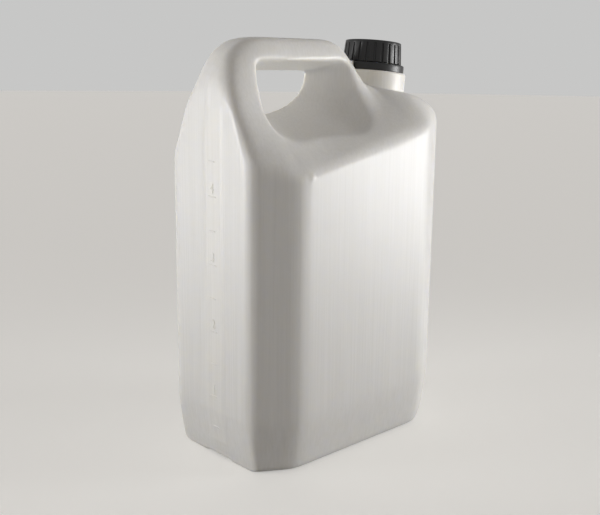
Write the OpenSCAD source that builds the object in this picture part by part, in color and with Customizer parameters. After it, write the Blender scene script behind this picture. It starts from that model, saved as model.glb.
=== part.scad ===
// Blow-moulded 5 litre jerrycan with a screw cap and a tamper ring.
// X runs from the narrow back face to the neck, Y across, Z up from the base.
// The origin is at the middle of the base.

/* [Body] */
// Length of the body, back face to front face
body_l = 189; // [170:1:210]
// Width of the body over the two wide faces
body_w = 122; // [110:1:134]
// Height of the handle's top over the base
body_h = 295; // [285:1:305]
// Width of the flat narrow faces at the two ends
narrow_w = 85.4; // [76:0.2:94]
// Length of the flat wide faces between the corner chamfers
wide_l = 128.6; // [116:0.2:136]
// Thickness of the blown wall
wall = 1.2; // [0.9:0.1:1.6]
// Rounding of the crease at the narrow faces
narrow_r = 8; // [4:0.5:10]
// Rounding of the crease at the wide faces
wide_r = 6; // [4:0.5:10]

/* [Base] */
// How far the foot stands in from the walls
foot_inset = 5.4; // [3:0.2:7]
// Height of the taper from the foot to the full body
foot_h = 37.8; // [30:0.2:46]
// Rounding of the foot's lower edge
foot_r = 5; // [3:0.5:7]
// Length of the easing curve where the taper meets the upright walls
waist_ease = 7; // [4:0.5:12]
// Length of the hollow panel under the base
base_panel_l = 140; // [120:1:150]
// Width of the hollow panel under the base
base_panel_w = 78; // [66:1:86]
// Depth of the hollow panel under the base
base_panel_depth = 2.4; // [1.4:0.2:3.2]
// Width of the pinch-off channel across the foot at the mould joint
pinch_w = 26; // [20:1:32]
// Depth of the pinch-off channel
pinch_depth = 1.2; // [0.8:0.1:1.8]

/* [Shoulder] */
// Drop from the handle's top to the wide face's upper edge at its back end
shoulder_back_drop = 89.2; // [85:0.2:95]
// Drop from the handle's top to the wide face's upper edge at its front end
shoulder_front_drop = 59.7; // [57:0.1:65]
// Drop from the handle's top to the narrow back face's corner
back_corner_drop = 79.4; // [76:0.2:84]
// Drop from the handle's top to the shoulder's crest at the front leg
crest_back_drop = 31.5; // [30:0.5:34]
// Drop from the handle's top to the shoulder's crest at the front face
crest_front_drop = 41; // [39:0.5:44]
// Rounding of the top edge of the front face
front_r = 12; // [8:0.5:16]

/* [Handle] */
// Width of the grip
grip_w = 31; // [28:0.5:34]
// Length of the easing curve at the top of the back leg
back_leg_ease = 40.2; // [34:0.2:46]
// Rounding radius at the top of the front leg
front_leg_r = 32; // [26:0.5:38]
// Distance from the handle's front top corner to the neck's axis
grip_to_neck = 42; // [39:0.2:46]
// Length of the easing curve at the front leg's foot
leg_foot_ease = 10.8; // [8:0.2:14]
// Slope of the front leg from the horizontal
front_leg_slope = 64; // [60:1:67]
// Height of the grip from its top to its underside at the mould joint
grip_h = 22.3; // [20:0.1:25]
// Draft of the grip's underside, up and out from the mould joint
recess_draft = 22; // [18:1:26]

/* [Finger hole] */
// Thickness of the back leg at the mould joint
back_leg_t = 30.5; // [28.5:0.5:36.5]
// Length of the hole along its top at the mould joint
hole_l = 57.2; // [52:0.2:62]
// Drop from the handle's top to the hole's floor at its back end
hole_floor_drop = 56.5; // [53:0.5:60]
// Draft of the floor, down and out from the mould joint
floor_draft = 17; // [13:1:20]
// How much the floor rises to the hole's front end
hole_floor_rise = 11.5; // [8:0.5:14]
// How far the recess opens out towards the neck
recess_sweep = 35; // [30:0.5:38]
// How far the recess opens out towards the back
recess_back_sweep = 6; // [2:0.5:10]
// Depth of the recess's sweep, from the mould joint outwards
recess_depth = 36; // [32:0.5:40]

/* [Neck] */
// Distance of the neck's axis from the front face, at the collar's foot
neck_inset = 32.8; // [31.6:0.2:35]
// Drop from the handle's top to the neck's axis foot, inside the shoulder
neck_drop = 41; // [40:0.2:42.4]
// Forward tilt of the neck
neck_tilt = 5.4; // [2:0.2:6]
// Outer diameter of the collar under the ring
collar_d = 53.4; // [52:0.2:54]
// Height of the collar's top over the axis foot
collar_h = 18.3; // [17:0.1:20]
// Thickness of the collar's wall
collar_wall = 1.8; // [1.4:0.1:2.4]
// Rounding of the collar's top edge
collar_r = 1.6; // [1:0.1:2.2]
// Outer diameter of the neck inside the cap, at the root of its thread
neck_d = 35; // [34:0.2:36]
// Diameter over the neck's thread
thread_d = 37.4; // [36.8:0.1:38]
// Diameter of the neck's bore
bore_d = 31.4; // [29:0.2:32]
// Diameter of the bead that holds the tamper ring
bead_d = 40.6; // [39.6:0.2:41.4]
// Height of the bead's underside over the collar
bead_z = 3.6; // [3:0.1:4.2]
// Height of the bead
bead_h = 2; // [1.4:0.1:2.4]
// Width of the stop lug behind the tamper ring
lug_w = 11; // [8:0.5:13]
// Thickness of the stop lug
lug_t = 4; // [3:0.5:5]
// Clearance between the stop lug and the tamper ring
lug_gap = 0.6; // [0.4:0.1:1]
// Height of the slope inside the collar, under its top
collar_slope_h = 3; // [2:0.5:5]
// Depth of the lug's root in the handle's leg, under the collar's top
lug_foot = 2; // [1.5:0.1:3]

/* [Cap] */
// Outer diameter of the cap's skirt at its lower edge
cap_d = 45.3; // [44:0.1:46.4]
// How much narrower the skirt is at its top
cap_taper = 2.7; // [1.6:0.1:3.2]
// Rounding of the cap's top edge
cap_r = 1.2; // [0.8:0.1:1.6]
// Height of the cap
cap_h = 16.1; // [15:0.1:18]
// Thickness of the cap's top
cap_top = 1.8; // [1.4:0.1:2.4]
// Number of broad grip ribs round the cap
rib_count = 24; // [18:1:30]
// Depth of the grooves between the ribs
groove_depth = 0.9; // [0.6:0.1:1.2]
// Width of the grooves between the ribs
groove_w = 1.5; // [1:0.1:2]
// Height of the plain band round the cap's top edge
cap_band = 2.2; // [1.6:0.2:3]
// Clearance between the cap's skirt and the neck's thread
cap_gap = 0.4; // [0.3:0.1:0.6]
// Gap between the cap and the tamper ring under it
ring_gap = 0.5; // [0.4:0.1:0.8]

/* [Tamper ring] */
// Outer diameter of the tamper ring
ring_d = 49.8; // [48.6:0.2:50.4]
// Height of the tamper ring
ring_h = 5.8; // [5.7:0.1:7]
// Clearance between the tamper ring and the bead inside it
ring_clear = 0.4; // [0.3:0.1:0.6]
// Height of the ring's inner lip under the bead
ring_lip_h = 2.8; // [2.2:0.1:2.9]
// Rise of the lip's slanted top from its rim to the ring
ring_lip_rise = 0.4; // [0.2:0.1:0.6]

/* [Liner] */
// Thickness of the sealing liner inside the cap
liner_t = 1.6; // [1:0.1:2]
// Clearance between the liner's rim and the cap's skirt
liner_gap = 0.3; // [0.3:0.1:0.5]

/* [Hidden] */
$fn = 72;
end_x = body_l / 2;
side_y = body_w / 2;
narrow_y = narrow_w / 2;
grip_y = grip_w / 2;
neck_x = end_x - neck_inset;
neck_z = body_h - neck_drop;
grip_front_x = neck_x - grip_to_neck;
hole_back_x = back_leg_t - end_x;
hole_front_x = hole_back_x + hole_l;
skirt_r = thread_d / 2 + cap_gap;
cap_z = collar_h + ring_h + ring_gap;
lip_z = cap_z + cap_h - cap_top - liner_t;
outer_stations = 34;
outer_steps = 4;
inner_stations = 26;
inner_steps = 3;
recess_steps = 6;

// Point at share t of the way from a to b
function mix(a, b, t) = a + (b - a) * t;

// Quadratic curve round corner b, from d_in before it to d_out after it
function corner(a, b, c, trim, steps, most) =
    let (
        p = b + (a - b) * min(most, trim / norm(a - b)),
        q = b + (c - b) * min(most, trim / norm(c - b))
    )
    [for (i = [0:steps]) let (t = i / steps) mix(mix(p, b, t), mix(b, q, t), t)];

// Curves at the inner corners of the open outline pts, each over its own trim
function eased(pts, trims, steps) = [
    for (i = [1:len(pts) - 2])
        each corner(pts[i - 1], pts[i], pts[i + 1], trims[i - 1], steps, 0.49)
];

// The closed outline pts with a curve at each corner
function eased_loop(pts, trims, steps) = let (n = len(pts)) [
    for (i = [0:n - 1])
        each corner(pts[(i + n - 1) % n], pts[i], pts[(i + 1) % n], trims[i], steps, 0.75)
];

// Smooth value at x of a table whose rows start with their own x; k is the column
function slope_at(rows, i, k) =
    let (a = rows[max(i - 1, 0)], b = rows[min(i + 1, len(rows) - 1)])
    (b[k] - a[k]) / (b[0] - a[0]);
function row_at(rows, x, i = 0) =
    i >= len(rows) - 2 || x < rows[i + 1][0] ? i : row_at(rows, x, i + 1);
function smooth(rows, x, k) =
    let (
        i = row_at(rows, x),
        a = rows[i],
        b = rows[i + 1],
        w = b[0] - a[0],
        t = (x - a[0]) / w,
        start = slope_at(rows, i, k) * w,
        end = slope_at(rows, i + 1, k) * w
    )
    (2 * t ^ 3 - 3 * t ^ 2 + 1) * a[k] + (t ^ 3 - 2 * t ^ 2 + t) * start
        + (3 * t ^ 2 - 2 * t ^ 3) * b[k] + (t ^ 3 - t ^ 2) * end;

// Plan outline of one side, from the back face to the front face
plan = eased([[-end_x, 0], [-end_x, narrow_y], [-wide_l / 2, side_y],
              [wide_l / 2, side_y], [end_x, narrow_y], [end_x, 0]],
             [narrow_r, wide_r, wide_r, narrow_r], 8);

// Side outline of the top: back leg, grip, front leg, shoulder, front edge
leg_foot_x = grip_front_x + crest_back_drop / tan(front_leg_slope);
crest = eased([[-end_x, 0], [-end_x, body_h], [grip_front_x, body_h],
               [leg_foot_x, body_h - crest_back_drop], [end_x, body_h - crest_front_drop],
               [end_x, 0]],
              [back_leg_ease, front_leg_r * tan(front_leg_slope / 2), leg_foot_ease, front_r],
              12);

// Key sections of the shoulder: place, half-width of the handle's foot and its drop
// from the handle's top, half-width of the top, easing at the shoulder, foot and top
keys = [
    [-end_x, grip_y + 8.4, 40.7, grip_y - 7.4, 3, 14, 8.3],
    [-end_x + 8, grip_y + 8.9, 38, grip_y - 4.5, 5, 18, 14.7],
    [-end_x + 34.5, grip_y + 6, 43, grip_y - 0.8, 6, 22, 12],
    [-end_x + 64.5, grip_y + 8, 51, grip_y, 6, 22, 12],
    [neck_x - 61.7, grip_y + 10, 49, grip_y, 7, 22, 12],
    [neck_x - 41.7, grip_y + 12, 45, grip_y, 8, 22, 12],
    [neck_x - 23.7, grip_y + 18, 43, grip_y + 2, 8, 20, 14],
    [neck_x - 9.7, grip_y + 25, 43, grip_y + 12, 7, 14, 16],
    [neck_x + 4.3, grip_y + 28, 43, grip_y + 17, 7, 10, 16],
    [neck_x + 22.3, grip_y + 24, 45, grip_y + 13, 7, 10, 14],
    [end_x, grip_y + 19, 48, grip_y + 8, 6, 8, 8]
];

// Height of the wall's upper edge at x
function shoulder_z(x) =
    body_h - (x < -wide_l / 2
        ? mix(shoulder_back_drop, back_corner_drop,
              (-wide_l / 2 - x) / (end_x - wide_l / 2))
        : mix(shoulder_back_drop, shoulder_front_drop, (x + wide_l / 2) / wide_l));

// Height at which the end face's taper starts at x
function low_z(x) = max(0, foot_h * (abs(x) - end_x + foot_inset) / foot_inset);

// Half of the section across X at x, standing in by e and raised by lift. On the
// slanted shoulder the shares of e keep the wall's thickness about the same
function half_section(x, e, lift, steps) =
    let (
        w = lookup(x, plan) - e,
        top = lookup(x, crest) - e,
        low = low_z(x) + e + lift,
        foot_y = w - foot_inset * max(0, 1 - low / foot_h),
        waist = max(foot_h, low + 0.5)
    )
    [[0, low], each eased([
        [0, low], [foot_y, low], [w, waist], [w, shoulder_z(x) - e * 0.4],
        [smooth(keys, x, 1) - e, min(body_h - smooth(keys, x, 2) - e * 0.6, top - 2)],
        [smooth(keys, x, 3) - e * 0.9, top], [0, top]
    ], [foot_r, waist_ease, smooth(keys, x, 4), smooth(keys, x, 5), smooth(keys, x, 6)],
    steps), [0, top]];

function ring_at(x, e, lift, steps) =
    let (half = half_section(x, e, lift, steps), n = len(half))
    [for (p = half) [x, p[0], p[1]],
     for (i = [n - 2:-1:1]) [x, -half[i][0], half[i][1]]];

// Solid through rings with the same number of points, closed at its ends
module loft(rings) {
    n = len(rings[0]);
    m = len(rings);
    polyhedron(
        points = [for (r = rings) each r],
        faces = [
            [for (j = [0:n - 1]) j],
            for (i = [0:m - 2]) for (j = [0:n - 1])
                let (k = (j + 1) % n, a = i * n, b = a + n)
                each [[a + j, b + j, b + k], [a + j, b + k, a + k]],
            [for (j = [n - 1:-1:0]) (m - 1) * n + j]
        ],
        convexity = 8
    );
}

// The bottle's form, standing in by e and raised by lift at its base
module bottle_form(e, lift, stations, steps) {
    loft([
        for (i = [0:stations])
            ring_at(-(end_x - e) * cos(180 * i / stations), e, lift, steps)
    ]);
}

// Outline of the finger recess at distance y from the mould joint, grown by e
function recess_outline(y, e) =
    let (
        depth = abs(y),
        share = min(1, depth / recess_depth),
        sweep = 1 - (1 - share) ^ 2,
        back_x = hole_back_x - recess_back_sweep * share - e,
        front_x = hole_front_x + recess_sweep * sweep + e,
        top = body_h - grip_h + depth * tan(recess_draft) + e,
        floor_z = body_h - hole_floor_drop - depth * tan(floor_draft) - e,
        floor_front_z = floor_z + hole_floor_rise * (1 - 0.3 * share)
    )
    [for (p = eased_loop(
        [[back_x, top], [front_x, top], [front_x - 5.8 + 4 * share, floor_front_z],
         [back_x - 1.5, floor_z]],
        [5, 4, 28, 22], recess_steps)) [p[0], y, p[1]]];

module finger_recess(e) {
    levels = [0.15, 0.35, 0.6, 1, 1.8];
    loft([
        for (i = [len(levels) - 1:-1:0]) recess_outline(-levels[i] * recess_depth, e),
        recess_outline(0, e),
        for (s = levels) recess_outline(s * recess_depth, e)
    ]);
}

// Frame of the neck: its axis foot is at the origin and its axis is Z
module on_neck() {
    translate([neck_x, 0, neck_z]) rotate([0, neck_tilt, 0]) children();
}

module collar_and_neck() {
    on_neck() rotate_extrude() polygon([
        [0, 0], [collar_d / 2, 0], each corner(
            [collar_d / 2, 0], [collar_d / 2, collar_h], [0, collar_h],
            collar_r, 4, 0.49),
        [neck_d / 2, collar_h], [neck_d / 2, collar_h + bead_z],
        [bead_d / 2, collar_h + bead_z], [bead_d / 2, collar_h + bead_z + bead_h / 2],
        [neck_d / 2, collar_h + bead_z + bead_h], [neck_d / 2, lip_z], [0, lip_z]
    ]);
}

module stop_lug() {
    on_neck()
        translate([-ring_d / 2 - lug_gap - lug_t, -lug_w / 2, collar_h - lug_foot])
            cube([lug_t, lug_w, lug_foot + ring_h]);
}

// The hollow up the neck: wide in the collar, then the bore
module neck_hollow() {
    on_neck() rotate_extrude() polygon([
        [0, -1], [collar_d / 2 - collar_wall, -1],
        [collar_d / 2 - collar_wall, collar_h - collar_wall - collar_slope_h],
        [bore_d / 2, collar_h - collar_wall], [bore_d / 2, lip_z + 1], [0, lip_z + 1]
    ]);
}

// The hollow panel and the pinch-off channel under the base
module base_relief() {
    translate([-base_panel_l / 2, -base_panel_w / 2, -1])
        cube([base_panel_l, base_panel_w, 1 + base_panel_depth]);
    translate([-end_x, -pinch_w / 2, -1]) cube([body_l, pinch_w, 1 + pinch_depth]);
}

// The blown shell, trued to its overall size
module bottle_shell() {
    resize([body_l, body_w, body_h]) difference() {
        bottle_form(0, 0, outer_stations, outer_steps);
        finger_recess(0);
        difference() {
            bottle_form(wall, base_panel_depth, inner_stations, inner_steps);
            finger_recess(wall);
        }
        base_relief();
        on_neck() cylinder(r = collar_d / 2 - collar_wall / 2, h = collar_h);
    }
}

module neck_finish() {
    difference() {
        union() {
            collar_and_neck();
            stop_lug();
        }
        neck_hollow();
    }
}

module body() {
    color("whitesmoke") {
        bottle_shell();
        neck_finish();
    }
}

module cap() {
    top_r = cap_d / 2 - cap_taper / 2;
    color([0.06, 0.06, 0.06]) on_neck() translate([0, 0, cap_z]) difference() {
        rotate_extrude() polygon([
            [skirt_r, 0], [cap_d / 2, 0],
            each corner([cap_d / 2, 0], [top_r, cap_h], [0, cap_h], cap_r, 4, 0.49),
            [0, cap_h], [0, cap_h - cap_top], [skirt_r, cap_h - cap_top]
        ]);
        for (i = [0:rib_count - 1]) rotate([0, 0, 360 * (i + 0.5) / rib_count])
            translate([cap_d / 2 - groove_depth, 0, 0])
                rotate([0, -atan(cap_taper / 2 / cap_h), 0])
                    translate([0, -groove_w / 2, -1])
                        cube([2 * groove_depth, groove_w, cap_h - cap_band + 1]);
    }
}

module tamper_ring() {
    outer = ring_d / 2;
    inner = bead_d / 2 + ring_clear;
    lip = neck_d / 2 + ring_clear;
    color([0.07, 0.07, 0.07]) on_neck() translate([0, 0, collar_h])
        rotate_extrude() polygon([
            [lip, 0], [outer, 0], [outer, ring_h], [inner, ring_h],
            [inner, ring_lip_h + ring_lip_rise], [lip, ring_lip_h]
        ]);
}

module cap_liner() {
    color("white") on_neck() translate([0, 0, lip_z])
        cylinder(r = skirt_r - liner_gap, h = liner_t);
}

body();
cap();
tamper_ring();
cap_liner();
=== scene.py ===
"""Upright blow-moulded jerrycan with a screw cap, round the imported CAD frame.

X runs from the graduated narrow face to the neck, Y across, Z up from the base.
Everything is in metres, and the mould joint is the plane Y = 0.
"""
import math

import bmesh
import bpy
from mathutils import Matrix, Vector


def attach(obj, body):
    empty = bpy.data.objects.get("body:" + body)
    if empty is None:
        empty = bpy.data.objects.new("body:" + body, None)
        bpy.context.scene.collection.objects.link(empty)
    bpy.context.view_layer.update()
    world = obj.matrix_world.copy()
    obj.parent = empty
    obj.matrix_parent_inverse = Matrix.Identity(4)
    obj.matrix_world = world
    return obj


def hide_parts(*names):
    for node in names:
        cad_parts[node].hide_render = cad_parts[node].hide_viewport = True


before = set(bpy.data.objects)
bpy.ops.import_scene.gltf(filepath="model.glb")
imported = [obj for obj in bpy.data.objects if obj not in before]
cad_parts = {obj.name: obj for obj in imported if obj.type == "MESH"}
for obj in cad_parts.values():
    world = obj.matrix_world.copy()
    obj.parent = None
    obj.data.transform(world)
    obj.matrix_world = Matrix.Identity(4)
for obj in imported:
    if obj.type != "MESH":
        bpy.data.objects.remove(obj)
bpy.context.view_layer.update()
MM = 0.001


# Bottle. The real one is a parison of natural high-density polyethylene, blown
# out against two mould halves, so its wall is one skin with soft edges and its
# colour is the milky white of the bare resin.
WALL = 1.2 * MM
VOXEL = 1.6 * MM
SOFTENING_PASSES = 7
SMOOTH_PULL = 0.5
WELD = 0.005 * MM
NECK_FOOT = Vector((61.7 * MM, 0, 254 * MM))
NECK_TILT = math.radians(5.4)
COLLAR_R = 26.7 * MM
COLLAR_INNER_R = 24.9 * MM
COLLAR_H = 18.3 * MM
COLLAR_CUT_MARGIN = 0.7 * MM
COLLAR_CUT_Z = -6 * MM


def deselect_all():
    for item in bpy.context.selected_objects:
        item.select_set(False)


def make_active(item):
    deselect_all()
    item.select_set(True)
    bpy.context.view_layer.objects.active = item


def duplicate(item):
    twin = item.copy()
    twin.data = item.data.copy()
    bpy.context.collection.objects.link(twin)
    return twin


def join(pieces):
    """Joins the pieces into the first one."""
    make_active(pieces[0])
    for piece in pieces[1:]:
        piece.select_set(True)
    bpy.ops.object.join()
    return pieces[0]


def apply_modifier(item, kind, **settings):
    make_active(item)
    modifier = item.modifiers.new(kind.title(), kind)
    for key, value in settings.items():
        setattr(modifier, key, value)
    bpy.ops.object.modifier_apply(modifier=modifier.name)


def edit_whole(item, *steps):
    """Runs each step in edit mode on the item's whole mesh."""
    make_active(item)
    bpy.ops.object.mode_set(mode="EDIT")
    for step in steps:
        bpy.ops.mesh.select_all(action="SELECT")
        step()
    bpy.ops.object.mode_set(mode="OBJECT")


def weld():
    bpy.ops.mesh.remove_doubles(threshold=WELD)


def turn_faces_out():
    bpy.ops.mesh.normals_make_consistent(inside=False)


def select_faces(item, test):
    """In edit mode, selects the faces whose centre and normal pass the test."""
    bpy.ops.mesh.select_mode(type="FACE")
    bpy.ops.mesh.select_all(action="DESELECT")
    mesh = bmesh.from_edit_mesh(item.data)
    for face in mesh.faces:
        face.select_set(test(face.calc_center_median(), face.normal))
    mesh.select_flush_mode()
    bmesh.update_edit_mesh(item.data)


on_neck = Matrix.Translation(NECK_FOOT) @ Matrix.Rotation(NECK_TILT, 4, "Y")
off_neck = on_neck.inverted()


def under_collar(centre, normal):
    """True inside the collar's circle, from just under the shoulder's skin up."""
    local = off_neck @ centre
    return local.xy.length < COLLAR_R + COLLAR_CUT_MARGIN and local.z > COLLAR_CUT_Z


def reach(item):
    """How far the item's farthest point lies from the middle of the base."""
    return max(vertex.co.length for vertex in item.data.vertices)


bottle = duplicate(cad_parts["body"])
edit_whole(bottle, weld)
bpy.ops.object.mode_set(mode="EDIT")
select_faces(bottle, under_collar)
bpy.ops.mesh.delete(type="FACE")
bpy.ops.mesh.select_all(action="SELECT")
bpy.ops.mesh.separate(type="LOOSE")
bpy.ops.object.mode_set(mode="OBJECT")
skins = sorted(bpy.context.selected_objects, key=reach)
bottle = skins.pop()
for inner_skin in skins:
    bpy.data.objects.remove(inner_skin)
bottle.name = "bottle"
edit_whole(bottle, lambda: bpy.ops.mesh.fill_holes(sides=0))
apply_modifier(bottle, "REMESH", mode="VOXEL", voxel_size=VOXEL)
cavity = duplicate(bottle)
apply_modifier(bottle, "SMOOTH", factor=SMOOTH_PULL, iterations=SOFTENING_PASSES)

# Where the recess opens out towards the neck and the shoulder, the mould's edge is
# rounded by far more than elsewhere. These points lie along it, on one side.
RECESS_RIM = [Vector(p) * MM for p in (
    (10, 16, 274), (17, 22, 266), (24, 28, 258), (28, 33, 250), (26, 38, 243),
    (16, 41, 239), (4, 42, 237), (-8, 42, 235), (-20, 42, 234), (-32, 40, 236),
    (-46, 44, 228), (-56, 44, 224))]
RECESS_RIM_REACH = 13 * MM
RECESS_RIM_PASSES = 36


def near_recess_rim(point):
    """1 on the recess's soft rim, falling to 0 at its reach."""
    mirrored = Vector((point.x, abs(point.y), point.z))
    nearest = min((mirrored - spot).length for spot in RECESS_RIM)
    return max(0, 1 - nearest / RECESS_RIM_REACH)


rim = bottle.vertex_groups.new(name="recess rim")
for vertex in bottle.data.vertices:
    weight = near_recess_rim(vertex.co)
    if weight > 0:
        rim.add([vertex.index], weight, "REPLACE")
apply_modifier(bottle, "SMOOTH", factor=SMOOTH_PULL, iterations=RECESS_RIM_PASSES,
               vertex_group=rim.name)
bottle.vertex_groups.clear()

# The mould's joint leaves a fine bead all round the middle, and a shallow raised
# strip on the narrow face carries the graduations. The strip's upper corner is cut
# off. The pip on the wide face is the mould's vent.
JOINT_BEAD_W = 0.9 * MM
JOINT_BEAD_H = 0.18 * MM
STRIP_H = 0.3 * MM
STRIP_Y = (-14.4 * MM, 4.6 * MM)
STRIP_Z = (12 * MM, 249 * MM)
STRIP_CORNER_W = 5.6 * MM
STRIP_CORNER_H = 16 * MM
STRAIGHT_ON = 0.95
EDGE_ON = 0.3
PIP_AT = (-55.7 * MM, 205.4 * MM)
PIP_R = 2.6 * MM
PIP_H = 1 * MM
for vertex in bottle.data.vertices:
    x, y, z = vertex.co
    cut = max(0, z - STRIP_Z[1] + STRIP_CORNER_H) * STRIP_CORNER_W / STRIP_CORNER_H
    on_strip = (vertex.normal.x < -STRAIGHT_ON and STRIP_Y[0] < y < STRIP_Y[1] - cut
                and STRIP_Z[0] < z < STRIP_Z[1])
    if on_strip:
        vertex.co.x = x - STRIP_H
    elif abs(y) < JOINT_BEAD_W and abs(vertex.normal.y) < EDGE_ON:
        vertex.co += vertex.normal * JOINT_BEAD_H
    off_pip = math.hypot(x - PIP_AT[0], z - PIP_AT[1])
    if y < 0 and off_pip < PIP_R:
        vertex.co += vertex.normal * PIP_H * (1 - off_pip / PIP_R)

# The cavity follows the skin a wall's thickness inside it, and opens up the neck.
# It is hidden, so it keeps only a share of its triangles.
CAVITY_VOXEL = 3 * MM
CAVITY_SHARE = 0.25
WAY_UP_H = 30 * MM
ROUND_SIDES = 96
edit_whole(cavity, lambda: bpy.ops.transform.shrink_fatten(value=-WALL))
apply_modifier(cavity, "REMESH", mode="VOXEL", voxel_size=CAVITY_VOXEL)
apply_modifier(cavity, "DECIMATE", ratio=CAVITY_SHARE)
edit_whole(cavity, bpy.ops.mesh.flip_normals)
join([bottle, cavity])
bpy.ops.mesh.primitive_cylinder_add(vertices=ROUND_SIDES, radius=COLLAR_INNER_R,
                                    depth=WAY_UP_H)
way_up = bpy.context.object
way_up.data.transform(on_neck)
apply_modifier(bottle, "BOOLEAN", object=way_up, operation="DIFFERENCE", solver="MANIFOLD")
bpy.data.objects.remove(way_up)

# Graduations, raised in the mould: a tick for each half litre, a numeral at each
# full one. Half a litre fills the body by 23.6 mm.
HALF_LITRE_H = 23.6 * MM
FIRST_TICK_Z = 24.7 * MM
TICK_COUNT = 9
TICK_Y = -3.6 * MM
TICK_T = 0.9 * MM
HALF_TICK_L = 6.4 * MM
FULL_TICK_L = 8 * MM
TICK_EDGE = 0.25 * MM
MARK_H = 0.4 * MM
NUMERAL_SIZE = 9.6 * MM
NUMERAL_LIFT = 2.2 * MM
OUTSIDE_X = -200 * MM
BOTTLE_SMOOTH_ANGLE = 50
facing_back = Matrix(((0, 0, -1, 0), (-1, 0, 0, 0), (0, 1, 0, 0), (0, 0, 0, 1)))


def strip_x(z):
    """Where the strip's face lies at that height."""
    return bottle.ray_cast((OUTSIDE_X, TICK_Y, z), (1, 0, 0))[1].x


def block(size, place):
    """A block of that size, moved by the place's matrix."""
    deselect_all()
    bpy.ops.mesh.primitive_cube_add(size=1)
    item = bpy.context.object
    item.data.transform(place @ Matrix.Diagonal((*size, 1)))
    return item


marks = []
for i in range(TICK_COUNT):
    z = FIRST_TICK_Z + i * HALF_LITRE_H
    litres, half = divmod(i + 1, 2)
    tick = block((2 * MARK_H, HALF_TICK_L if half else FULL_TICK_L, TICK_T),
                 Matrix.Translation((strip_x(z), TICK_Y, z)))
    apply_modifier(tick, "BEVEL", width=TICK_EDGE, segments=2)
    marks.append(tick)
    if not half:
        deselect_all()
        bpy.ops.object.text_add()
        numeral = bpy.context.object
        numeral.data.body = str(litres)
        numeral.data.size = NUMERAL_SIZE
        numeral.data.align_x = "CENTER"
        numeral.data.extrude = MARK_H
        numeral.data.resolution_u = 4
        bpy.ops.object.convert(target="MESH")
        numeral.data.transform(Matrix.Translation((strip_x(z), TICK_Y, z + NUMERAL_LIFT))
                               @ facing_back)
        edit_whole(numeral, weld, turn_faces_out)
        marks.append(numeral)
marks = join(marks)
apply_modifier(bottle, "BOOLEAN", object=marks, operation="UNION", solver="MANIFOLD")
bpy.data.objects.remove(marks)


def hex_colour(code):
    """Linear colour of an sRGB hex value."""
    parts = [int(code[i:i + 2], 16) / 255 for i in (1, 3, 5)]
    linear = [p / 12.92 if p <= 0.04045 else ((p + 0.055) / 1.055) ** 2.4 for p in parts]
    return (*linear, 1)


def add_node(tree, kind, links=(), **settings):
    """Adds a node with its settings, and links (socket, other node, its socket)."""
    node = tree.nodes.new(kind)
    for key, value in settings.items():
        if key in node.inputs:
            node.inputs[key].default_value = value
        else:
            setattr(node, key, value)
    for socket, source, output in links:
        tree.links.new(source.outputs[output], node.inputs[socket])
    return node


def new_material(name, **values):
    """A material, its tree and its shader, with the values put on its sockets."""
    material = bpy.data.materials.new(name)
    material.use_nodes = True
    tree = material.node_tree
    shader = tree.nodes["Principled BSDF"]
    for socket, value in values.items():
        shader.inputs[socket].default_value = value
    return material, tree, shader


def finish_piece(item, material, body, smooth_angle=40):
    """Gives the piece its material, smooth shading and place in the frame."""
    item.data.materials.clear()
    item.data.materials.append(material)
    make_active(item)
    bpy.ops.object.shade_smooth_by_angle(angle=math.radians(smooth_angle))
    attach(item, body)


# Blown high-density polyethylene: satin from the sand-blasted mould, with light
# scattered a few millimetres under its skin, and faint upright die lines drawn
# into the parison as it was pushed out.
DIE_LINE_PITCH = 1.6 * MM
DIE_LINE_STRETCH = 0.012
WAVINESS_PITCH = 38 * MM
hdpe, tree, shader = new_material("blown natural HDPE", **{
    "Roughness": 0.42, "IOR": 1.54, "Subsurface Weight": 1,
    "Subsurface Radius": (1.0, 0.95, 0.82), "Subsurface Scale": 3 * MM})
place = add_node(tree, "ShaderNodeTexCoord")
drawn = add_node(tree, "ShaderNodeMapping", Scale=(1, 1, DIE_LINE_STRETCH),
                 links=[("Vector", place, "Object")])
die_lines = add_node(tree, "ShaderNodeTexNoise", Scale=1 / DIE_LINE_PITCH, Detail=3,
                     Roughness=0.7, links=[("Vector", drawn, "Vector")])
waves = add_node(tree, "ShaderNodeTexNoise", Scale=1 / WAVINESS_PITCH, Detail=1,
                 links=[("Vector", place, "Object")])
milk = add_node(tree, "ShaderNodeValToRGB", links=[("Fac", die_lines, "Fac")])
milk.color_ramp.elements[0].position = 0.3
milk.color_ramp.elements[0].color = hex_colour("#E7E5DF")
milk.color_ramp.elements[1].position = 0.7
milk.color_ramp.elements[1].color = hex_colour("#EFEDE8")
lines_bump = add_node(tree, "ShaderNodeBump", Strength=0.12, Distance=0.15 * MM,
                      links=[("Height", die_lines, "Fac")])
wave_bump = add_node(tree, "ShaderNodeBump", Strength=0.35, Distance=1.2 * MM,
                     links=[("Height", waves, "Fac"), ("Normal", lines_bump, "Normal")])
tree.links.new(milk.outputs["Color"], shader.inputs["Base Color"])
tree.links.new(wave_bump.outputs["Normal"], shader.inputs["Normal"])
finish_piece(bottle, hdpe, "can", BOTTLE_SMOOTH_ANGLE)
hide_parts("body")


# Neck. It is blown with the bottle but formed between a pin and two hard inserts,
# so it is crisp: a wide collar, the bead that holds the tamper ring, a thread of
# one and a half turns, and the rim that the cap's liner seals on.
COLLAR_FOOT_Z = -8 * MM
COLLAR_WALL = 1.8 * MM
COLLAR_SLOPE_H = 3 * MM
BORE_R = 15.7 * MM
NECK_R = 17.5 * MM
BEAD_R = 20.3 * MM
BEAD_Z = 3.6 * MM
BEAD_H = 2 * MM
CAP_Z = 24.6 * MM
LIP_Z = 37.3 * MM
LATHE_STEPS = 120
CORNER_STEPS = 5


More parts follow.
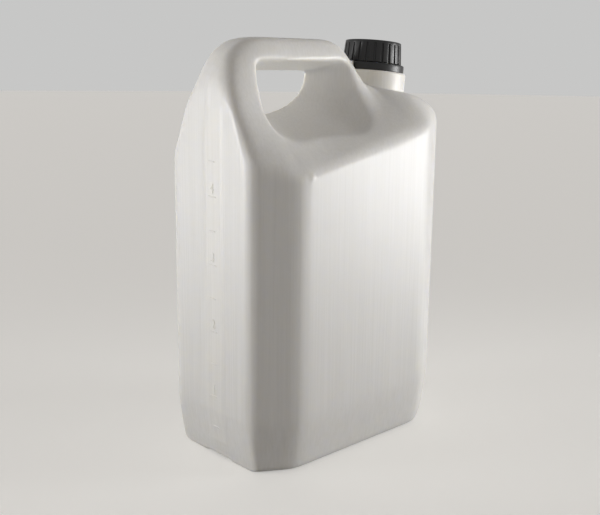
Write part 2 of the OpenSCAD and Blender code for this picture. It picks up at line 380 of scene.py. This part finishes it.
def mesh_object(name, points, edges, faces):
    mesh = bpy.data.meshes.new(name)
    mesh.from_pydata(points, edges, faces)
    item = bpy.data.objects.new(name, mesh)
    bpy.context.collection.objects.link(item)
    return item


def rounded(corners):
    """Outline through (radius, height, rounding) corners, each rounded by that much."""
    outline = []
    for i, (x, z, rounding) in enumerate(corners):
        here = Vector((x, z))
        before = Vector(corners[i - 1][:2]) - here
        after = Vector(corners[(i + 1) % len(corners)][:2]) - here
        if not rounding:
            outline.append((x, z))
            continue
        start = here + before.normalized() * rounding
        end = here + after.normalized() * rounding
        for step in range(CORNER_STEPS + 1):
            t = step / CORNER_STEPS
            spot = start.lerp(here, t).lerp(here.lerp(end, t), t)
            outline.append((spot.x, spot.y))
    return outline


def turned(name, corners):
    """Solid of revolution round Z of the closed outline through the corners."""
    outline = rounded(corners)
    item = mesh_object(name, [(r, 0, z) for r, z in outline],
                       [(i, (i + 1) % len(outline)) for i in range(len(outline))], [])
    edit_whole(item, lambda: bpy.ops.mesh.spin(steps=LATHE_STEPS, angle=math.tau,
                                               center=(0, 0, 0), axis=(0, 0, 1)),
               weld, turn_faces_out)
    return item


neck = turned("neck", [
    (COLLAR_INNER_R, COLLAR_FOOT_Z, 0),
    (COLLAR_R, COLLAR_FOOT_Z, 0),
    (COLLAR_R, COLLAR_H, 1.6 * MM),
    (NECK_R, COLLAR_H, 0.6 * MM),
    (NECK_R, COLLAR_H + BEAD_Z, 0.2 * MM),
    (BEAD_R, COLLAR_H + BEAD_Z, 0.3 * MM),
    (BEAD_R, COLLAR_H + BEAD_Z + BEAD_H / 2, 0.3 * MM),
    (NECK_R, COLLAR_H + BEAD_Z + BEAD_H, 0.3 * MM),
    (NECK_R, LIP_Z, 0.5 * MM),
    (BORE_R, LIP_Z, 0.4 * MM),
    (BORE_R, COLLAR_H - COLLAR_WALL, 0.8 * MM),
    (COLLAR_INNER_R, COLLAR_H - COLLAR_WALL - COLLAR_SLOPE_H, 0.8 * MM)])

# The thread's ridge starts a little above the cap's lower edge, and the cap's own
# ridge lies half a pitch higher, between its turns.
THREAD_PITCH = 4.2 * MM
THREAD_TURNS = 1.5
THREAD_STEPS_PER_TURN = 72
THREAD_START = 2.5 * MM
THREAD_RUN_OUT = 1 / 8
THREAD_SINK = 0.4 * MM
NECK_THREAD_R = 18.7 * MM
NECK_THREAD_W = 2.2 * MM


def thread(name, root_r, crest_r, foot_z, width):
    """A thread's helical ridge round Z, tapered off at both ends."""
    steps = int(THREAD_TURNS * THREAD_STEPS_PER_TURN)
    root = root_r - math.copysign(THREAD_SINK, crest_r - root_r)
    points, faces = [], []
    for i in range(steps + 1):
        turn = math.tau * i / THREAD_STEPS_PER_TURN
        full_height = min(1, min(i, steps - i) / steps / THREAD_RUN_OUT)
        crest = root_r + (crest_r - root_r) * full_height
        centre = foot_z + THREAD_PITCH * i / THREAD_STEPS_PER_TURN
        for r, z in ((root, -width / 2), (crest, -width / 5),
                     (crest, width / 5), (root, width / 2)):
            points.append((r * math.cos(turn), r * math.sin(turn), centre + z))
    for i in range(steps):
        for j in range(4):
            k = (j + 1) % 4
            faces.append((4 * i + j, 4 * i + k, 4 * i + 4 + k, 4 * i + 4 + j))
    faces += [(3, 2, 1, 0), tuple(4 * steps + j for j in range(4))]
    item = mesh_object(name, points, [], faces)
    edit_whole(item, turn_faces_out)
    return item


# The lug beside the ring stops it from being turned back.
LUG_W = 11 * MM
LUG_T = 4 * MM
LUG_H = 9 * MM
LUG_TOP_Z = 24.1 * MM
LUG_EDGE = 0.8 * MM
LUG_GAP = 0.6 * MM
RING_R = 24.9 * MM
lug_x = -RING_R - LUG_GAP - LUG_T / 2
lug = block((LUG_T, LUG_W, LUG_H), Matrix.Translation((lug_x, 0, LUG_TOP_Z - LUG_H / 2)))
apply_modifier(lug, "BEVEL", width=LUG_EDGE, segments=3)
neck_thread = thread("neck_thread", NECK_R, NECK_THREAD_R, CAP_Z + THREAD_START,
                     NECK_THREAD_W)
join([neck, neck_thread, lug])
neck.data.transform(on_neck)
finish_piece(neck, hdpe, "can")
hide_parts("body")


# Tamper ring. Black polypropylene, moulded in one with the cap and tied to it by
# thin bridges. They tore at the first opening, and their stubs stay on its rim.
RING_H = 5.8 * MM
RING_INNER_R = 20.7 * MM
RING_LIP_R = 17.9 * MM
RING_LIP_EDGE_H = 2.8 * MM
RING_LIP_ROOT_H = 3.2 * MM
BRIDGE_COUNT = 12
BRIDGE_AT_R = 21.6 * MM
BRIDGE_SIZE = (0.8 * MM, 1 * MM, 0.5 * MM)
ring = turned("tamper_ring_moulding", [
    (RING_LIP_R, COLLAR_H, 0.2 * MM),
    (RING_R, COLLAR_H, 0.5 * MM),
    (RING_R, COLLAR_H + RING_H, 1.3 * MM),
    (RING_INNER_R, COLLAR_H + RING_H, 0.3 * MM),
    (RING_INNER_R, COLLAR_H + RING_LIP_ROOT_H, 0.2 * MM),
    (RING_LIP_R, COLLAR_H + RING_LIP_EDGE_H, 0.2 * MM)])
stubs = [block(BRIDGE_SIZE, Matrix.Rotation(math.tau * i / BRIDGE_COUNT, 4, "Z")
               @ Matrix.Translation((BRIDGE_AT_R, 0, COLLAR_H + RING_H)))
         for i in range(BRIDGE_COUNT)]
join([ring, *stubs])
ring.data.transform(on_neck)

# Moulded polypropylene, black with carbon: glossy where it left a polished
# steel mould, with a faint orange peel from the resin's shrinkage.
PEEL_PITCH = 0.9 * MM
black_pp, tree, shader = new_material("moulded black polypropylene", **{
    "Base Color": hex_colour("#121213"), "IOR": 1.49})
place = add_node(tree, "ShaderNodeTexCoord")
peel = add_node(tree, "ShaderNodeTexNoise", Scale=1 / PEEL_PITCH, Detail=2,
                links=[("Vector", place, "Object")])
sheen_patches = add_node(tree, "ShaderNodeMapRange",
                         links=[("Value", peel, "Fac")], **{"To Min": 0.32, "To Max": 0.46})
peel_bump = add_node(tree, "ShaderNodeBump", Strength=0.15, Distance=0.05 * MM,
                     links=[("Height", peel, "Fac")])
tree.links.new(sheen_patches.outputs["Result"], shader.inputs["Roughness"])
tree.links.new(peel_bump.outputs["Normal"], shader.inputs["Normal"])
finish_piece(ring, black_pp, "can")
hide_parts("tamper_ring")


# Cap. Black polypropylene too, with broad grip ribs under a plain band, a
# hollow skirt with the mating thread, and a flat top with a soft edge.
CAP_R = 22.65 * MM
CAP_TOP_R = 21.3 * MM
CAP_H = 16.1 * MM
CAP_BAND = 2.2 * MM
CAP_TOP_T = 1.8 * MM
CAP_EDGE = 0.35 * MM
CAP_SHARP_ANGLE = 40
CAP_SMOOTH_ANGLE = 30
CAP_THREAD_R = 17.9 * MM
CAP_THREAD_W = 1.6 * MM
SKIRT_R = 19.1 * MM
RIB_COUNT = 24
SIDES_PER_RIB = 4
GROOVE_DEPTH = 0.9 * MM
bpy.ops.mesh.primitive_cylinder_add(vertices=RIB_COUNT * SIDES_PER_RIB, radius=CAP_R,
                                    depth=CAP_H, location=(0, 0, CAP_H / 2))
cap = bpy.context.object
cap.name = "screw_cap"
bpy.ops.object.transform_apply(location=True)
bpy.ops.object.mode_set(mode="EDIT")
bpy.ops.mesh.select_all(action="SELECT")
bpy.ops.mesh.bisect(plane_co=(0, 0, CAP_H - CAP_BAND), plane_no=(0, 0, 1))


def is_groove(centre, normal):
    """True on one side face in four, below the plain band."""
    side = math.floor(math.atan2(centre.y, centre.x) / math.tau * RIB_COUNT * SIDES_PER_RIB)
    return abs(normal.z) < 0.5 and centre.z < CAP_H - CAP_BAND and side % SIDES_PER_RIB == 0


def is_underside(centre, normal):
    """True on the disc that closes the cylinder's lower end."""
    return normal.z < -0.9 and centre.xy.length < 1 * MM


select_faces(cap, is_groove)
bpy.ops.mesh.extrude_region_shrink_fatten(
    TRANSFORM_OT_shrink_fatten={"value": -GROOVE_DEPTH})
select_faces(cap, is_underside)
bpy.ops.mesh.inset(thickness=CAP_R - SKIRT_R, depth=0)
bpy.ops.mesh.extrude_region_move(
    TRANSFORM_OT_translate={"value": (0, 0, CAP_H - CAP_TOP_T)})
bpy.ops.object.mode_set(mode="OBJECT")
for vertex in cap.data.vertices:
    if vertex.co.xy.length > SKIRT_R + 0.5 * MM:
        narrowing = 1 - (CAP_R - CAP_TOP_R) / CAP_R * vertex.co.z / CAP_H
        vertex.co.x *= narrowing
        vertex.co.y *= narrowing
apply_modifier(cap, "BEVEL", width=CAP_EDGE, segments=2, limit_method="ANGLE",
               angle_limit=math.radians(CAP_SHARP_ANGLE))
cap_thread = thread("cap_thread", SKIRT_R, CAP_THREAD_R, THREAD_START + THREAD_PITCH / 2,
                    CAP_THREAD_W)
join([cap, cap_thread])
cap.data.transform(on_neck @ Matrix.Translation((0, 0, CAP_Z)))
finish_piece(cap, black_pp, "cap", CAP_SMOOTH_ANGLE)
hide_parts("cap")


# Liner. A disc of foamed polyethylene pressed up inside the cap, matt white,
# with the fine open grain of the foam.
FOAM_CELL = 0.4 * MM
foam, tree, shader = new_material("foamed polyethylene", Roughness=0.8)
place = add_node(tree, "ShaderNodeTexCoord")
cells = add_node(tree, "ShaderNodeTexVoronoi", Scale=1 / FOAM_CELL,
                 links=[("Vector", place, "Object")])
foam_tone = add_node(tree, "ShaderNodeValToRGB", links=[("Fac", cells, "Distance")])
foam_tone.color_ramp.elements[0].color = hex_colour("#E4E4E0")
foam_tone.color_ramp.elements[1].color = hex_colour("#F0F0EE")
foam_bump = add_node(tree, "ShaderNodeBump", Strength=0.3, Distance=0.1 * MM,
                     links=[("Height", cells, "Distance")])
tree.links.new(foam_tone.outputs["Color"], shader.inputs["Base Color"])
tree.links.new(foam_bump.outputs["Normal"], shader.inputs["Normal"])
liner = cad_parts["cap_liner"]
liner.data.materials.clear()
liner.data.materials.append(foam)


# Studio: the camera where the photograph's stood, a pale paper floor in a pale
# room, and two soft boxes level with the shoulder, one on each side of the camera.
CAMERA_AT = (-0.45102, -0.47021, 0.27615)
CAMERA_YAW, CAMERA_PITCH, CAMERA_ROLL = (math.radians(a) for a in (46.82, 12.30, -0.57))
CAMERA_LENS = 52.72
SENSOR_W = 36
FLOOR_R = 9
ahead = Vector((math.cos(CAMERA_YAW) * math.cos(CAMERA_PITCH),
                math.sin(CAMERA_YAW) * math.cos(CAMERA_PITCH), -math.sin(CAMERA_PITCH)))
level_right = ahead.cross(Vector((0, 0, 1))).normalized()
level_down = ahead.cross(level_right)
right = level_right * math.cos(CAMERA_ROLL) + level_down * math.sin(CAMERA_ROLL)
down = level_down * math.cos(CAMERA_ROLL) - level_right * math.sin(CAMERA_ROLL)
camera_data = bpy.data.cameras.new("camera")
camera_data.sensor_width = SENSOR_W
camera_data.lens = CAMERA_LENS
camera_data.clip_start = 0.01
camera = bpy.data.objects.new("camera", camera_data)
bpy.context.collection.objects.link(camera)
axes = Matrix((right, -down, -ahead)).transposed().to_4x4()
camera.matrix_world = Matrix.Translation(CAMERA_AT) @ axes
bpy.context.scene.camera = camera


def add_background_test(tree):
    """Gives 1 to rays that see the background: the camera's, a mirror's, a glass's."""
    ray = add_node(tree, "ShaderNodeLightPath")
    mirrored = add_node(tree, "ShaderNodeMath", operation="MAXIMUM",
                        links=[(0, ray, "Is Glossy Ray"), (1, ray, "Is Transmission Ray")])
    return add_node(tree, "ShaderNodeMath", operation="MAXIMUM",
                    links=[(0, ray, "Is Camera Ray"), (1, mirrored, "Value")])


# Where it is seen, the paper is pale and glows a little. To the light that it sends
# up to the can it is darker, as the photograph's table was.
PAPER_GLOW = 0.43
deselect_all()
bpy.ops.mesh.primitive_circle_add(vertices=ROUND_SIDES, radius=FLOOR_R, fill_type="NGON")
floor = bpy.context.object
floor.name = "floor"
paper, tree, shader = new_material("pale paper floor", **{
    "Roughness": 0.9, "Emission Color": hex_colour("#E9E8E6")})
seen = add_background_test(tree)
paper_tone = add_node(tree, "ShaderNodeValToRGB", links=[("Fac", seen, "Value")])
paper_tone.color_ramp.elements[0].color = hex_colour("#5A5856")
paper_tone.color_ramp.elements[1].color = hex_colour("#DAD9D6")
glow = add_node(tree, "ShaderNodeMath", operation="MULTIPLY", links=[(0, seen, "Value")])
glow.inputs[1].default_value = PAPER_GLOW
tree.links.new(paper_tone.outputs["Color"], shader.inputs["Base Color"])
tree.links.new(glow.outputs["Value"], shader.inputs["Emission Strength"])
floor.data.materials.append(paper)

SOFT_BOX_W = 0.40
SOFT_BOX_H = 0.36


def soft_box(name, spot, target, watts, spread):
    """A soft box at the spot, turned to the target, its light kept within the spread."""
    light_data = bpy.data.lights.new(name, "AREA")
    light_data.shape = "RECTANGLE"
    light_data.size = SOFT_BOX_W
    light_data.size_y = SOFT_BOX_H
    light_data.energy = watts
    light_data.spread = math.radians(spread)
    light = bpy.data.objects.new(name, light_data)
    bpy.context.collection.objects.link(light)
    light.location = spot
    light.rotation_euler = (Vector(target) - Vector(spot)).to_track_quat("-Z", "Y").to_euler()


soft_box("right soft box", (0.79, -0.66, 0.18), (0.10, -0.05, 0.21), watts=0.74, spread=50)
soft_box("left soft box", (-0.84, 0.50, 0.20), (-0.09, 0.0, 0.235), watts=0.62, spread=54)

# The room's fill is strongest level with the can and falls off overhead. What the
# camera sees of the room is a plain tone of its own.
FILL_LEVEL = 0.94
FILL_OVERHEAD = 0.16
OVERHEAD_FROM = 0.8
ROOM_SEEN = 0.62
room = bpy.data.worlds.new("room")
room.use_nodes = True
tree = room.node_tree
seen = add_background_test(tree)
towards = add_node(tree, "ShaderNodeTexCoord")
height = add_node(tree, "ShaderNodeSeparateXYZ", links=[("Vector", towards, "Generated")])
fill = add_node(tree, "ShaderNodeMapRange", links=[("Value", height, "Z")],
                **{"From Min": 0, "From Max": OVERHEAD_FROM,
                   "To Min": FILL_LEVEL, "To Max": FILL_OVERHEAD})
strength = add_node(tree, "ShaderNodeMapRange", **{"To Max": ROOM_SEEN},
                    links=[("Value", seen, "Value"), ("To Min", fill, "Result")])
room_tone = add_node(tree, "ShaderNodeValToRGB", links=[("Fac", seen, "Value")])
room_tone.color_ramp.elements[0].color = hex_colour("#F9F2EA")
room_tone.color_ramp.elements[1].color = hex_colour("#F6F6F5")
background = tree.nodes["Background"]
tree.links.new(room_tone.outputs["Color"], background.inputs["Color"])
tree.links.new(strength.outputs["Result"], background.inputs["Strength"])
bpy.context.scene.world = room
bpy.context.scene.view_settings.view_transform = "Standard"
